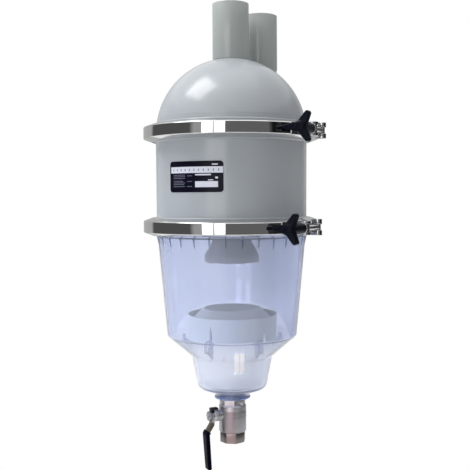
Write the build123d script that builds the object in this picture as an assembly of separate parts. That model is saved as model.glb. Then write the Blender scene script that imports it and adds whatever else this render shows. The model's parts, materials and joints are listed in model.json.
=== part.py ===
from build123d import *
import math
import os

# Centrifugal pre-filter with two pipe stubs, a clear bowl and a drain valve.
# Millimetres, +Z up, the front faces -Y.
# The origin is the centre of the top end of the middle pipe stub.
# An angle called a bearing is measured at the Z axis, from the front (-Y) towards +X.

# Pipe stubs
PIPE_R = 30.15
PIPE_WALL = 4.0
SPIGOT_R = 29.3
OUTLET_SHOULDER_Z = -93.0
OUTLET_END_Z = -122.0
INLET_X = 50.0
INLET_Y = 65.0
INLET_TOP_Z = -6.0
INLET_SHOULDER_Z = -100.0
INLET_END_Z = -178.0

# Dome
DOME_R = 124.0
DOME_WALL = 5.0
DOME_CENTRE_Z = -214.0
SKIRT_TOP_Z = -190.0
SKIRT_R = 122.7
SOCKET_R = 35.0
OUTLET_SOCKET_END_Z = -146.0
INLET_SOCKET_END_Z = -184.0

# Clamped flanges, the same at both joints
UPPER_JOINT_Z = -214.5
LOWER_JOINT_Z = -366.4
FLANGE_R = 141.5
FLANGE_RIM = 8.6
FLANGE_SLOPE = math.tan(math.radians(20))
FLANGE_ROOT_R = 126.5
FLANGE_ROOT = FLANGE_RIM + (FLANGE_R - FLANGE_ROOT_R) * FLANGE_SLOPE
SEAL_R = 129.0
SEAL_WIDTH = 4.0
SEAL_HEIGHT = 3.6
GROOVE_WIDTH = 5.0

# Body between the clamps
BODY_TOP_R = 124.2
BODY_BOTTOM_R = 123.3
BODY_BORE_R = 118.6

# Outlet tube inside the body, and the cone at its lower end
TUBE_R = 24.5
TUBE_WALL = 2.5
TUBE_COLLAR_END_Z = -142.0
TUBE_END_Z = -386.0
CONE_WALL = 2.5
CONE_SLEEVE_TOP_Z = -366.0
CONE_R = 45.0
CONE_BASE_Z = -417.0
CONE_SKIRT_Z = -427.0

# Clear bowl
BOWL_WALL = 4.0
BOWL_TOP_R = 121.6
SHOULDER_R = 106.2
SHOULDER_Z = -545.0
SHOULDER_FILLET = 6.0
CUP_R = 65.6
CUP_TOP_Z = -580.0
CUP_FILLET = 5.0
CUP_FOOT_R = 56.0
CUP_FOOT_Z = -631.0
CUP_FOOT_FILLET = 9.0
NECK_R = 17.5
NECK_TOP_Z = -646.0
NECK_FILLET = 3.0
NECK_BORE_R = 11.0
DISC_R = 29.5
DISC_TOP_Z = -647.0
DISC_THICKNESS = 2.6
GUSSETS = 30
GUSSET_BEARING = 8.0
GUSSET_R = 124.3
GUSSET_FOOT_Z = -399.0
GUSSET_THICKNESS = 1.8
LUGS = 6
LUG_BEARING = 33.0
LUG_THICKNESS = 3.0
LUG_INNER_R = 67.0
LUG_LOOP_R = 79.5
LUG_LOOP_TURN = 15.0
LUG_LOOP_WIDTH = 13.0
LUG_LOOP_TOP_Z = -543.5
LUG_SLOT_WIDTH = 6.0
LUG_SLOT_FOOT_Z = -560.0

# Collector that stands on the lugs
COLLECTOR_R = 74.0
COLLECTOR_FOOT_R = 72.6
COLLECTOR_WALL = 2.5
COLLECTOR_TOP_Z = -510.8
COLLECTOR_FOOT_Z = -552.0
TROUGH_FLOOR_Z = -524.0
TROUGH_INNER_R = 60.0
RIM_R = 47.5
RIM_TOP_Z = -501.7
RIM_BASE_R = 68.0
NOTCHES = 5
NOTCH_BEARING = -27.0
NOTCH_WIDTH = 9.0
NOTCH_APEX_Z = -521.0

# Band clamps
BAND_R = 144.5
BAND_SHEET = 1.6
BAND_LIP_R = 130.0
BAND_GAP = 7.0
UPPER_CLAMP_BEARING = 63.6
LOWER_CLAMP_BEARING = 56.0
BOLT_LINE = 155.5
BOLT_R = 4.0
BOLT_END = -78.0
T_BAR_AT = 11.0
T_BAR_R = 4.2
T_BAR_LENGTH = 25.0
T_LOOP_R = 6.2
T_SLOT = 9.6
TRUNNION_AT = -29.0
TRUNNION_R = 6.3
TRUNNION_LOOP_R = 8.2
TRUNNION_SLOT = 12.8
TRUNNION_NOSE = 9.2
T_LOOP_HEIGHT = 25.2
TRUNNION_LOOP_HEIGHT = 21.0
LOOP_FOOT_HEIGHT = 19.0
LOOP_FOOT_SHEET = 1.6
LOOP_FOOT_ARC = 13.0
WASHER_R = 8.5
WASHER_THICKNESS = 1.6

# Three-armed knob on each clamp bolt
KNOB_PLANE = -80.0
KNOB_ARM = 26.0
KNOB_ARM_TIP_R = 3.8
KNOB_ARM_ROOT_R = 8.0
KNOB_ARM_THICKNESS = 10.0
KNOB_HUB_R = 9.0
KNOB_NOSE_R = 8.0
KNOB_NOSE = -40.0
KNOB_BORE_R = 4.05

# Ball valve under the bowl
VALVE_TOP_Z = -651.0
VALVE_JOINT_Z = -705.0
VALVE_BOTTOM_Z = -722.0
VALVE_R = 22.4
VALVE_FLATS = 39.6
VALVE_TOP_TURN = 7.5
VALVE_END_TURN = 16.5
STEM_Z = -677.0
STEM_BEARING = -65.0
PORT_R = 10.0
BALL_R = 15.5
BALL_PLAY = 0.08
CAVITY_R = 16.5
CAVITY_TOP_Z = -664.5
TOP_SOCKET_R = 16.4
TOP_SOCKET_Z = -663.0
BOTTOM_SOCKET_R = 15.15
BOTTOM_SOCKET_Z = -707.0
SEAT_INNER = 8.0
BOSS_R = 9.2
BOSS_OUT = 29.0
STEM_R = 5.0
STEM_PLAY = 0.06
STEM_OUT = 45.0
GLAND_FLATS = 16.6
GLAND_OUT = 35.8
TANG_IN = 11.8
TANG_WIDTH = 5.0

# Valve lever, with places along the stem (out) and above it (up)
LEVER_OUT = 36.0
LEVER_SHEET = 2.5
LEVER_TOP_WIDTH = 17.0
LEVER_END_WIDTH = 13.0
LEVER_HEAD_R = 10.5
LEVER_TAB_OUT = 27.5
LEVER_TAB_UP = 11.8
LEVER_TAB_WIDTH = 10.0
LEVER_CRANK_UP = -13.0
LEVER_BEND_OUT = 47.5
LEVER_BEND_UP = -28.0
LEVER_END_OUT = 43.6
LEVER_END_UP = -84.0
LEVER_BEND_R = 6.0
SLEEVE_TOP_WIDTH = 18.5
SLEEVE_END_WIDTH = 15.5
SLEEVE_THICKNESS = 7.0
SLEEVE_CORNER = 2.8
SLEEVE_TOP_UP = -24.0
SLEEVE_TIP_UP = -86.5
LEVER_NUT_FLATS = 14.0
LEVER_NUT_OUT = 44.0

# Label on the body and sticker on the bowl
LABEL_BEARINGS = (-49.5, -5.3)
LABEL_TOP_Z = -263.8
LABEL_BOTTOM_Z = -311.3
LABEL_THICKNESS = 0.5
LABEL_CORNER = 5.0
STICKER_LEFT = 4.1
STICKER_WIDTH = 15.1
STICKER_TOP_R = 88.0
STICKER_BOTTOM_Z = -597.5
STICKER_THICKNESS = 0.4


def closed_face(*lines):
    """Face in the XZ plane inside joined lines."""
    return Plane.XZ * make_face(Curve() + list(lines))


def turned(*points):
    """Solid of revolution about Z of a closed outline of (radius, z) points."""
    return revolve(Plane.XZ * make_face(Polyline(*points, close=True)), Axis.Z)


def drum(radius, top, bottom):
    """Round bar on the Z axis between two heights."""
    return Pos(0, 0, (top + bottom) / 2) * Cylinder(radius, top - bottom)


def at_bearing(shape, bearing):
    """Turn a shape built towards +X to a bearing from the front."""
    return Rot(0, 0, bearing - 90) * shape


def along_line(start, end, share):
    """Point at a share of the way from start to end."""
    return (start[0] + (end[0] - start[0]) * share, start[1] + (end[1] - start[1]) * share)


def pipe_stub(top, shoulder, end):
    """Pipe with a slightly smaller spigot below its shoulder, on the Z axis."""
    bore = PIPE_R - PIPE_WALL
    stub = drum(PIPE_R, top, shoulder) + drum(SPIGOT_R, shoulder, end)
    return stub - drum(bore, top + 1, end - 1)


def outlet_pipe():
    return pipe_stub(0, OUTLET_SHOULDER_Z, OUTLET_END_Z)


def inlet_pipe():
    return Pos(INLET_X, INLET_Y, 0) * pipe_stub(INLET_TOP_Z, INLET_SHOULDER_Z, INLET_END_Z)


def dome():
    """Half ball with a short skirt, a clamp flange and two pipe sockets inside."""
    rise = SKIRT_TOP_Z - DOME_CENTRE_Z
    start = math.degrees(math.asin(rise / DOME_R))
    inner_r = DOME_R - DOME_WALL
    inner_start = math.degrees(math.asin(rise / inner_r))
    outer = CenterArc((0, DOME_CENTRE_Z), DOME_R, start, 90 - start)
    inner = CenterArc((0, DOME_CENTRE_Z), inner_r, inner_start, 90 - inner_start)
    skirt = Polyline(
        outer @ 0,
        (SKIRT_R, UPPER_JOINT_Z + FLANGE_ROOT + 2.5),
        (FLANGE_ROOT_R, UPPER_JOINT_Z + FLANGE_ROOT),
        (FLANGE_R, UPPER_JOINT_Z + FLANGE_RIM),
        (FLANGE_R, UPPER_JOINT_Z),
        (BODY_BORE_R, UPPER_JOINT_Z),
        inner @ 0,
    )
    shell = revolve(closed_face(outer, skirt, inner, Line(inner @ 1, outer @ 1)), Axis.Z)
    sockets = drum(SOCKET_R, DOME_CENTRE_Z + DOME_R, OUTLET_SOCKET_END_Z)
    sockets += Pos(INLET_X, INLET_Y, 0) * drum(SOCKET_R, DOME_CENTRE_Z + DOME_R, INLET_SOCKET_END_Z)
    sockets &= Pos(0, 0, DOME_CENTRE_Z) * Sphere(DOME_R - DOME_WALL / 2)
    holes = drum(SPIGOT_R, 0, OUTLET_SOCKET_END_Z - 1)
    holes += Pos(INLET_X, INLET_Y, 0) * drum(SPIGOT_R, 0, INLET_SOCKET_END_Z - 1)
    return shell + sockets - holes


def flange_seal(joint):
    """Square ring that fills the groove below a joint."""
    inner = SEAL_R - SEAL_WIDTH / 2
    outer = SEAL_R + SEAL_WIDTH / 2
    return drum(outer, joint, joint - SEAL_HEIGHT) - drum(inner, joint + 1, joint - SEAL_HEIGHT - 1)


def seal_groove(joint):
    inner = SEAL_R - GROOVE_WIDTH / 2
    outer = SEAL_R + GROOVE_WIDTH / 2
    return drum(outer, joint + 1, joint - SEAL_HEIGHT) - drum(inner, joint + 1, joint - SEAL_HEIGHT)


def body_shell():
    """Drafted cylinder with a clamp flange at each end."""
    shell = turned(
        (BODY_BORE_R, UPPER_JOINT_Z),
        (FLANGE_R, UPPER_JOINT_Z),
        (FLANGE_R, UPPER_JOINT_Z - FLANGE_RIM),
        (FLANGE_ROOT_R, UPPER_JOINT_Z - FLANGE_ROOT),
        (BODY_TOP_R, UPPER_JOINT_Z - FLANGE_ROOT - 2),
        (BODY_BOTTOM_R, LOWER_JOINT_Z + FLANGE_ROOT + 2),
        (FLANGE_ROOT_R, LOWER_JOINT_Z + FLANGE_ROOT),
        (FLANGE_R, LOWER_JOINT_Z + FLANGE_RIM),
        (FLANGE_R, LOWER_JOINT_Z),
        (BODY_BORE_R, LOWER_JOINT_Z),
    )
    return shell - seal_groove(UPPER_JOINT_Z)


def vortex_tube():
    """Tube from the outlet socket down to the cone, hung by a collar."""
    tube = drum(SPIGOT_R, OUTLET_END_Z, TUBE_COLLAR_END_Z)
    tube += drum(TUBE_R, TUBE_COLLAR_END_Z, TUBE_END_Z)
    return tube - drum(TUBE_R - TUBE_WALL, OUTLET_END_Z + 1, TUBE_END_Z - 1)


def vortex_cone():
    """Flared skirt whose sleeve holds the end of the tube."""
    sleeve = TUBE_R + CONE_WALL
    bore = TUBE_R - TUBE_WALL
    return turned(
        (TUBE_R, CONE_SLEEVE_TOP_Z),
        (sleeve, CONE_SLEEVE_TOP_Z),
        (sleeve, TUBE_END_Z),
        (CONE_R, CONE_BASE_Z),
        (CONE_R + 0.5, CONE_SKIRT_Z),
        (CONE_R + 0.5 - CONE_WALL, CONE_SKIRT_Z),
        (CONE_R - CONE_WALL, CONE_BASE_Z + 0.6),
        (bore, TUBE_END_Z - 5),
        (bore, TUBE_END_Z),
        (TUBE_R, TUBE_END_Z),
    )


def bowl_corners(inset):
    """Corners of the bowl wall from the shoulder down, at a depth inside its outer face."""
    lean = 0.414 * inset
    return [
        (SHOULDER_R - inset, SHOULDER_Z + lean),
        (CUP_R - 0.9 * inset, CUP_TOP_Z + 0.9 * inset),
        (CUP_FOOT_R - inset, CUP_FOOT_Z + 0.9 * inset),
    ]


def bowl_shell():
    """Tapered wall, sloped shoulder, lower cup, dished bottom, neck and disc."""
    outer = FilletPolyline(
        (BOWL_TOP_R, LOWER_JOINT_Z - FLANGE_ROOT - 3),
        *bowl_corners(0),
        (NECK_R, NECK_TOP_Z),
        (NECK_R, DISC_TOP_Z),
        radius=[SHOULDER_FILLET, CUP_FILLET, CUP_FOOT_FILLET, 0.4],
    )
    inner = FilletPolyline(
        (BODY_BORE_R, LOWER_JOINT_Z),
        *bowl_corners(BOWL_WALL),
        (NECK_BORE_R, NECK_TOP_Z + BOWL_WALL),
        (NECK_BORE_R, TOP_SOCKET_Z),
        radius=[
            SHOULDER_FILLET - 2,
            CUP_FILLET + BOWL_WALL,
            CUP_FOOT_FILLET - BOWL_WALL,
            NECK_FILLET,
        ],
    )
    neck = Polyline(
        outer @ 1,
        (DISC_R, DISC_TOP_Z),
        (DISC_R, DISC_TOP_Z - DISC_THICKNESS),
        (TOP_SOCKET_R, DISC_TOP_Z - DISC_THICKNESS),
        (TOP_SOCKET_R, TOP_SOCKET_Z),
        inner @ 1,
    )
    flange = Polyline(
        inner @ 0,
        (FLANGE_R, LOWER_JOINT_Z),
        (FLANGE_R, LOWER_JOINT_Z - FLANGE_RIM),
        (FLANGE_ROOT_R, LOWER_JOINT_Z - FLANGE_ROOT),
        outer @ 0,
    )
    shell = revolve(closed_face(outer, neck, inner, flange), Axis.Z)
    return shell - seal_groove(LOWER_JOINT_Z)


def gusset():
    """Low tapered rib under the bowl flange, pointing to +X."""
    top = LOWER_JOINT_Z - FLANGE_ROOT
    outline = Polyline(
        (BOWL_TOP_R - 2, top + 0.8),
        (GUSSET_R, top + 0.8),
        (GUSSET_R - 1.0, top - 3.5),
        (BOWL_TOP_R - 1.6, GUSSET_FOOT_Z),
        (BOWL_TOP_R - 4, GUSSET_FOOT_Z),
        close=True,
    )
    return extrude(Plane.XZ * make_face(outline), GUSSET_THICKNESS / 2, both=True)


def lug_loop():
    """Upright slotted loop outside the collector's edge, facing +X."""
    half = LUG_LOOP_WIDTH / 2
    height = LUG_LOOP_TOP_Z - CUP_TOP_Z
    face = Pos(0, LUG_LOOP_TOP_Z - half) * Circle(half)
    face += Pos(0, LUG_LOOP_TOP_Z - half - height / 2) * Rectangle(LUG_LOOP_WIDTH, height)
    slot_height = LUG_LOOP_TOP_Z - half + LUG_SLOT_WIDTH / 2 - LUG_SLOT_FOOT_Z
    slot = SlotOverall(slot_height, LUG_SLOT_WIDTH, rotation=90)
    face -= Pos(0, LUG_SLOT_FOOT_Z + slot_height / 2) * slot
    loop = extrude(Plane.YZ * face, LUG_THICKNESS / 2, both=True)
    return Pos(LUG_LOOP_R, 0, 0) * Rot(0, 0, LUG_LOOP_TURN) * loop


def support_lug():
    """Upright plate that the collector stands on, with a loop outside the collector's edge."""
    slope_start, slope_end, _ = bowl_corners(BOWL_WALL / 2)
    web_length = LUG_LOOP_R - LUG_INNER_R
    web_height = COLLECTOR_FOOT_Z - CUP_TOP_Z
    web_place = Pos(LUG_INNER_R + web_length / 2, 0, COLLECTOR_FOOT_Z - web_height / 2)
    lug = web_place * Box(web_length, LUG_THICKNESS, web_height) + lug_loop()
    below = turned(slope_start, slope_end, (slope_end[0], CUP_FOOT_Z), (slope_start[0], CUP_FOOT_Z))
    return lug - below


def bowl():
    """Clear bowl with gussets under its flange and lugs for the collector."""
    shape = bowl_shell()
    for number in range(GUSSETS):
        shape += at_bearing(gusset(), GUSSET_BEARING + number * 360 / GUSSETS)
    lug = support_lug()
    for number in range(LUGS):
        shape += at_bearing(lug, LUG_BEARING + number * 360 / LUGS)
    return shape


def notch():
    """Upside-down V cut through the collector's skirt, pointing to +X."""
    foot = COLLECTOR_FOOT_Z - 1
    half = NOTCH_WIDTH / 2
    triangle = make_face(Polyline((-half, foot), (half, foot), (0, NOTCH_APEX_Z), close=True))
    return Pos(COLLECTOR_FOOT_R, 0, 0) * extrude(Plane.YZ * triangle, 6, both=True)


def collector_cup():
    """Notched skirt with a trough floor inside its rim."""
    shape = turned(
        (COLLECTOR_R, COLLECTOR_TOP_Z),
        (COLLECTOR_FOOT_R, COLLECTOR_FOOT_Z),
        (COLLECTOR_FOOT_R - COLLECTOR_WALL, COLLECTOR_FOOT_Z),
        (COLLECTOR_R - COLLECTOR_WALL - 0.4, TROUGH_FLOOR_Z - COLLECTOR_WALL),
        (TROUGH_INNER_R, TROUGH_FLOOR_Z - COLLECTOR_WALL),
        (TROUGH_INNER_R, TROUGH_FLOOR_Z),
        (COLLECTOR_R - COLLECTOR_WALL - 0.4, TROUGH_FLOOR_Z),
        (COLLECTOR_R - COLLECTOR_WALL, COLLECTOR_TOP_Z),
    )
    for number in range(NOTCHES):
        shape -= at_bearing(notch(), NOTCH_BEARING + number * 360 / NOTCHES)
    return shape


def collector_cone():
    """Open cone that stands on the trough floor."""
    return turned(
        (RIM_R, RIM_TOP_Z),
        (RIM_BASE_R, TROUGH_FLOOR_Z + 3),
        (RIM_BASE_R, TROUGH_FLOOR_Z),
        (RIM_BASE_R - COLLECTOR_WALL, TROUGH_FLOOR_Z),
        (RIM_R - COLLECTOR_WALL, RIM_TOP_Z - 1.5),
        (RIM_R - COLLECTOR_WALL, RIM_TOP_Z),
    )


def clamp_band(joint):
    """Sheet ring with sloped lips that pull the two flanges together, open at +X."""
    sheet_slope = BAND_SHEET / math.cos(math.atan(FLANGE_SLOPE))

    def lip(radius, offset):
        return FLANGE_RIM + (FLANGE_R - radius) * FLANGE_SLOPE + offset

    inner_r = BAND_R - BAND_SHEET
    outline = Polyline(
        (inner_r, joint + lip(inner_r, 0)),
        (BAND_LIP_R, joint + lip(BAND_LIP_R, 0)),
        (BAND_LIP_R, joint + lip(BAND_LIP_R, sheet_slope)),
        (BAND_R, joint + lip(BAND_R, sheet_slope)),
        (BAND_R, joint - lip(BAND_R, sheet_slope)),
        (BAND_LIP_R, joint - lip(BAND_LIP_R, sheet_slope)),
        (BAND_LIP_R, joint - lip(BAND_LIP_R, 0)),
        (inner_r, joint - lip(inner_r, 0)),
        close=True,
    )
    middle = math.degrees((T_BAR_AT + TRUNNION_AT) / 2 / BAND_R)
    ring = revolve(Plane.XZ * make_face(outline), Axis.Z, 360 - BAND_GAP)
    return Rot(0, 0, middle + BAND_GAP / 2) * ring


def strap_loop(place, radius, hole, slot, height, side):
    """Folded strap end with a slot, on a curved foot that lies along the band."""
    centre_angle = math.degrees(place / BAND_R)
    foot_outer = BAND_R + LOOP_FOOT_SHEET
    foot_face = Circle(foot_outer) - Circle(BAND_R)
    web = Polyline(
        (BOLT_LINE, place - radius * 0.75),
        (BOLT_LINE, place + radius * 0.75),
        (BAND_R - 6, place + radius * 0.9),
        (BAND_R - 6, place - radius * 0.9),
        close=True,
    )
    web_face = make_face(web) - Circle(foot_outer)
    head = web_face + Pos(BOLT_LINE, place) * Circle(radius)
    loop = extrude(head - Pos(BOLT_LINE, place) * Circle(hole), height / 2, both=True)
    loop -= Pos(BOLT_LINE + 3, place, 0) * Box(18, 4 * radius, slot)
    foot = extrude(foot_face, LOOP_FOOT_HEIGHT / 2, both=True)
    span = math.radians(LOOP_FOOT_ARC)
    reach = 1.3 * BAND_R
    back = -side * math.radians(3.2)
    wedge = Polyline(
        (0, 0),
        (reach * math.cos(back), reach * math.sin(back)),
        (reach * math.cos(side * span), reach * math.sin(side * span)),
        close=True,
    )
    window = Rot(0, 0, centre_angle) * extrude(make_face(wedge), LOOP_FOOT_HEIGHT, both=True)
    return loop + (foot & window)


def t_loop():
    return strap_loop(T_BAR_AT, T_LOOP_R, T_BAR_R, T_SLOT, T_LOOP_HEIGHT, 1)


def trunnion_loop():
    height = TRUNNION_LOOP_HEIGHT
    return strap_loop(TRUNNION_AT, TRUNNION_LOOP_R, TRUNNION_R, TRUNNION_SLOT, height, -1)


def bolt_bar(radius, start, end):
    """Round bar on the bolt's line between two places along it."""
    return Pos(BOLT_LINE, (start + end) / 2, 0) * Rot(90, 0, 0) * Cylinder(radius, end - start)


def t_bolt():
    """Clamp bolt with a cross bar that lies in the slotted loop."""
    bar = Pos(BOLT_LINE, T_BAR_AT, 0) * Cylinder(T_BAR_R, T_BAR_LENGTH)
    return bar + bolt_bar(BOLT_R, BOLT_END, T_BAR_AT)


def trunnion():
    """Cross bar with a nose that the knob's washer pushes on."""
    bar = Pos(BOLT_LINE, TRUNNION_AT, 0) * Cylinder(TRUNNION_R, TRUNNION_LOOP_HEIGHT)
    nose = bolt_bar(TRUNNION_R - 0.2, TRUNNION_AT - TRUNNION_NOSE, TRUNNION_AT)
    passage = bolt_bar(BOLT_R + 0.2, TRUNNION_AT - 20, TRUNNION_AT + 20)
    return bar + nose - passage


def knob_washer():
    face = TRUNNION_AT - TRUNNION_NOSE
    disc = bolt_bar(WASHER_R, face - WASHER_THICKNESS, face)
    return disc - bolt_bar(BOLT_R + 0.3, face - 5, face + 5)


def knob_arm():
    """Tapered arm from the hub centre towards +X in the sketch plane."""
    tip = Pos(KNOB_ARM - KNOB_ARM_TIP_R, 0) * Circle(KNOB_ARM_TIP_R)
    root = Circle(KNOB_ARM_ROOT_R)
    return make_hull(tip.edges() + root.edges())


def clamp_knob():
    """Three-armed knob with a long tapered hub and a blind bore."""
    arms = Sketch() + [Rot(0, 0, 180 + 120 * number) * knob_arm() for number in range(3)]
    arm_plane = Plane(origin=(BOLT_LINE, KNOB_PLANE, 0), x_dir=(1, 0, 0), z_dir=(0, -1, 0))
    spider = extrude(arm_plane * arms, KNOB_ARM_THICKNESS / 2, both=True)
    spider = chamfer(spider.faces().sort_by(Axis.Y)[0].edges(), 1.2)
    front = KNOB_PLANE - KNOB_ARM_THICKNESS / 2
    hub = Polyline(
        (0, front - 2.0),
        (KNOB_HUB_R - 3, front - 2.0),
        (KNOB_HUB_R, front),
        (KNOB_HUB_R, KNOB_PLANE + 12),
        (KNOB_NOSE_R, KNOB_NOSE - 8),
        (KNOB_NOSE_R, KNOB_NOSE),
        (0, KNOB_NOSE),
        close=True,
    )
    hub_solid = revolve(make_face(hub), Axis.Y)
    bore = bolt_bar(KNOB_BORE_R, KNOB_PLANE, KNOB_NOSE + 1)
    return spider + Pos(BOLT_LINE, 0, 0) * hub_solid - bore


def at_clamp(shape, joint, bearing):
    """Move a clamp piece from its own frame to its joint and bearing."""
    return at_bearing(Pos(0, 0, joint) * shape, bearing)


def octagon_bar(flats, top, bottom, turn):
    """Octagonal bar on the Z axis."""
    outline = RegularPolygon(flats / 2, 8, major_radius=False, rotation=turn)
    return Pos(0, 0, bottom) * extrude(outline, top - bottom)


def stem_bar(radius, start, end):
    """Round bar along +X, later turned to the stem's bearing."""
    return Pos((start + end) / 2, 0, STEM_Z) * Rot(0, 90, 0) * Cylinder(radius, end - start)


def stem_hex(flats, start, end):
    """Hexagonal nut along +X round the stem's axis."""
    plane = Plane(origin=(start, 0, STEM_Z), x_dir=(0, 1, 0), z_dir=(1, 0, 0))
    return extrude(plane * RegularPolygon(flats / 2, 6, major_radius=False), end - start)


def valve_body():
    """Round body with an octagonal top end, a stem boss and an open ball space."""
    round_part = turned(
        (0, VALVE_TOP_Z - 8),
        (VALVE_FLATS / 2, VALVE_TOP_Z - 8),
        (VALVE_R, VALVE_TOP_Z - 12),
        (VALVE_R, VALVE_JOINT_Z + 1),
        (VALVE_R - 1, VALVE_JOINT_Z),
        (0, VALVE_JOINT_Z),
    )
    top_end = octagon_bar(VALVE_FLATS, VALVE_TOP_Z, VALVE_TOP_Z - 10, VALVE_TOP_TURN)
    boss = at_bearing(stem_bar(BOSS_R, 10, BOSS_OUT), STEM_BEARING)
    shape = round_part + top_end + boss
    shape -= drum(TOP_SOCKET_R, VALVE_TOP_Z + 1, TOP_SOCKET_Z)
    shape -= drum(PORT_R, TOP_SOCKET_Z + 1, CAVITY_TOP_Z - 1)
    shape -= drum(CAVITY_R, CAVITY_TOP_Z, VALVE_JOINT_Z - 1)
    return shape - at_bearing(stem_bar(STEM_R + STEM_PLAY, 0, STEM_OUT), STEM_BEARING)


def valve_end():
    """Screwed-in end with an octagonal collar and a threaded drain socket."""
    spigot_top = 2 * STEM_Z - CAVITY_TOP_Z
    shape = drum(CAVITY_R - 0.05, spigot_top, VALVE_JOINT_Z)
    shape += octagon_bar(VALVE_FLATS, VALVE_JOINT_Z, VALVE_BOTTOM_Z, VALVE_END_TURN)
    shape -= drum(PORT_R, spigot_top + 1, VALVE_BOTTOM_Z)
    return shape - drum(BOTTOM_SOCKET_R, BOTTOM_SOCKET_Z, VALVE_BOTTOM_Z - 1)


def valve_seat(side):
    """Ring with a hollow seat for the ball, above (1) or below (-1) the stem."""
    far = CAVITY_TOP_Z - STEM_Z
    ring = drum(CAVITY_R - 0.05, STEM_Z + far, STEM_Z + SEAT_INNER) - drum(PORT_R, 0, 2 * STEM_Z)
    ring -= Pos(0, 0, STEM_Z) * Sphere(BALL_R + BALL_PLAY)
    return ring if side > 0 else mirror(ring, Plane((0, 0, STEM_Z)))


def valve_ball():
    """Bored ball with a flat-bottomed slot for the stem's tang."""
    ball = Pos(0, 0, STEM_Z) * Sphere(BALL_R) - drum(PORT_R, 0, 2 * STEM_Z)
    slot = Pos(TANG_IN + 5, 0, STEM_Z) * Box(10, TANG_WIDTH, 4 * BALL_R)
    return ball - at_bearing(slot, STEM_BEARING)


def valve_stem():
    """Stem with a tang in the ball and a thin threaded end for the lever nut."""
    shoulder = BALL_R + 0.4
    shape = stem_bar(STEM_R, shoulder, LEVER_OUT + LEVER_SHEET)
    shape += stem_bar(STEM_R - 1, BALL_R, STEM_OUT)
    tang = Pos((TANG_IN + shoulder) / 2, 0, STEM_Z) * Box(shoulder - TANG_IN, TANG_WIDTH, 8)
    return at_bearing(shape + tang, STEM_BEARING)


def packing_nut():
    nut = stem_hex(GLAND_FLATS, BOSS_OUT, GLAND_OUT) - stem_bar(STEM_R + STEM_PLAY, 0, STEM_OUT)
    return at_bearing(nut, STEM_BEARING)


def lever_nut():
    start = LEVER_OUT + LEVER_SHEET
    nut = stem_hex(LEVER_NUT_FLATS, start, LEVER_NUT_OUT) - stem_bar(STEM_R - 1, 0, STEM_OUT + 1)
    return at_bearing(nut, STEM_BEARING)


def lever_path(start_up, end_up):
    """Middle line of the cranked lever between two heights, as (out, up) points."""
    middle = LEVER_OUT + LEVER_SHEET / 2
    bend = (LEVER_BEND_OUT, STEM_Z + LEVER_BEND_UP)
    crank = (middle, STEM_Z + LEVER_CRANK_UP)
    lever_end = (LEVER_END_OUT, STEM_Z + LEVER_END_UP)
    end = along_line(bend, lever_end, (end_up - LEVER_BEND_UP) / (LEVER_END_UP - LEVER_BEND_UP))
    if start_up < LEVER_CRANK_UP:
        share = (start_up - LEVER_CRANK_UP) / (LEVER_BEND_UP - LEVER_CRANK_UP)
        return FilletPolyline(along_line(crank, bend, share), bend, end, radius=2.5)
    return FilletPolyline((middle, STEM_Z + start_up), crank, bend, end, radius=LEVER_BEND_R)


def lever_arm():
    """Flat strip with a round head, a stop tab and an outward crank."""
    strip = Plane.XZ * trace(lever_path(LEVER_TAB_UP, LEVER_END_UP), LEVER_SHEET)
    shape = extrude(strip, LEVER_TOP_WIDTH / 2, both=True)
    top_half = LEVER_TOP_WIDTH / 2
    end_half = LEVER_END_WIDTH / 2
    taper = Polyline(
        (-top_half, STEM_Z + LEVER_HEAD_R + 10),
        (-top_half, STEM_Z + LEVER_CRANK_UP),
        (-end_half, STEM_Z + LEVER_END_UP - 5),
        (end_half, STEM_Z + LEVER_END_UP - 5),
        (top_half, STEM_Z + LEVER_CRANK_UP),
        (top_half, STEM_Z + LEVER_HEAD_R + 10),
        close=True,
    )
    shape &= extrude(Plane.YZ * make_face(taper), 2 * STEM_OUT)
    shape += stem_bar(LEVER_HEAD_R, LEVER_OUT, LEVER_OUT + LEVER_SHEET)
    tab_length = LEVER_OUT + LEVER_SHEET - LEVER_TAB_OUT
    tab = Box(tab_length, LEVER_TAB_WIDTH, LEVER_SHEET)
    shape += Pos(LEVER_TAB_OUT + tab_length / 2, 0, STEM_Z + LEVER_TAB_UP) * tab
    shape -= stem_bar(STEM_R, 0, STEM_OUT)
    return at_bearing(shape, STEM_BEARING)


def lever_sleeve():
    """Dipped vinyl grip over the lever's lower end."""
    path = Plane.XZ * lever_path(SLEEVE_TOP_UP, SLEEVE_TIP_UP)
    sections = []
    for share, width in ((0, SLEEVE_TOP_WIDTH), (1, SLEEVE_END_WIDTH)):
        place = Plane(origin=path @ share, x_dir=(0, 1, 0), z_dir=path % share)
        sections.append(place * RectangleRounded(width, SLEEVE_THICKNESS, SLEEVE_CORNER))
    grip = sweep(sections, path, multisection=True)
    grip = chamfer(grip.faces().sort_by(Axis.Z)[0].edges(), 1.6)
    return at_bearing(grip, STEM_BEARING) - lever_arm()


def rating_label():
    """Thin curved plate with rounded corners on the front left of the body."""
    top = UPPER_JOINT_Z - FLANGE_ROOT - 2
    bottom = LOWER_JOINT_Z + FLANGE_ROOT + 2
    plate = turned(
        (BODY_TOP_R, top),
        (BODY_TOP_R + LABEL_THICKNESS, top),
        (BODY_BOTTOM_R + LABEL_THICKNESS, bottom),
        (BODY_BOTTOM_R, bottom),
    )
    first, last = LABEL_BEARINGS
    half = math.radians(last - first) / 2
    width = 2 * BODY_TOP_R * math.sin(half)
    window = RectangleRounded(width, LABEL_TOP_Z - LABEL_BOTTOM_Z, LABEL_CORNER)
    middle = (BODY_TOP_R, 0, (LABEL_TOP_Z + LABEL_BOTTOM_Z) / 2)
    block = extrude(Plane(origin=middle, x_dir=(0, 1, 0), z_dir=(1, 0, 0)) * window, 30, both=True)
    return plate & at_bearing(block, (first + last) / 2)


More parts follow.
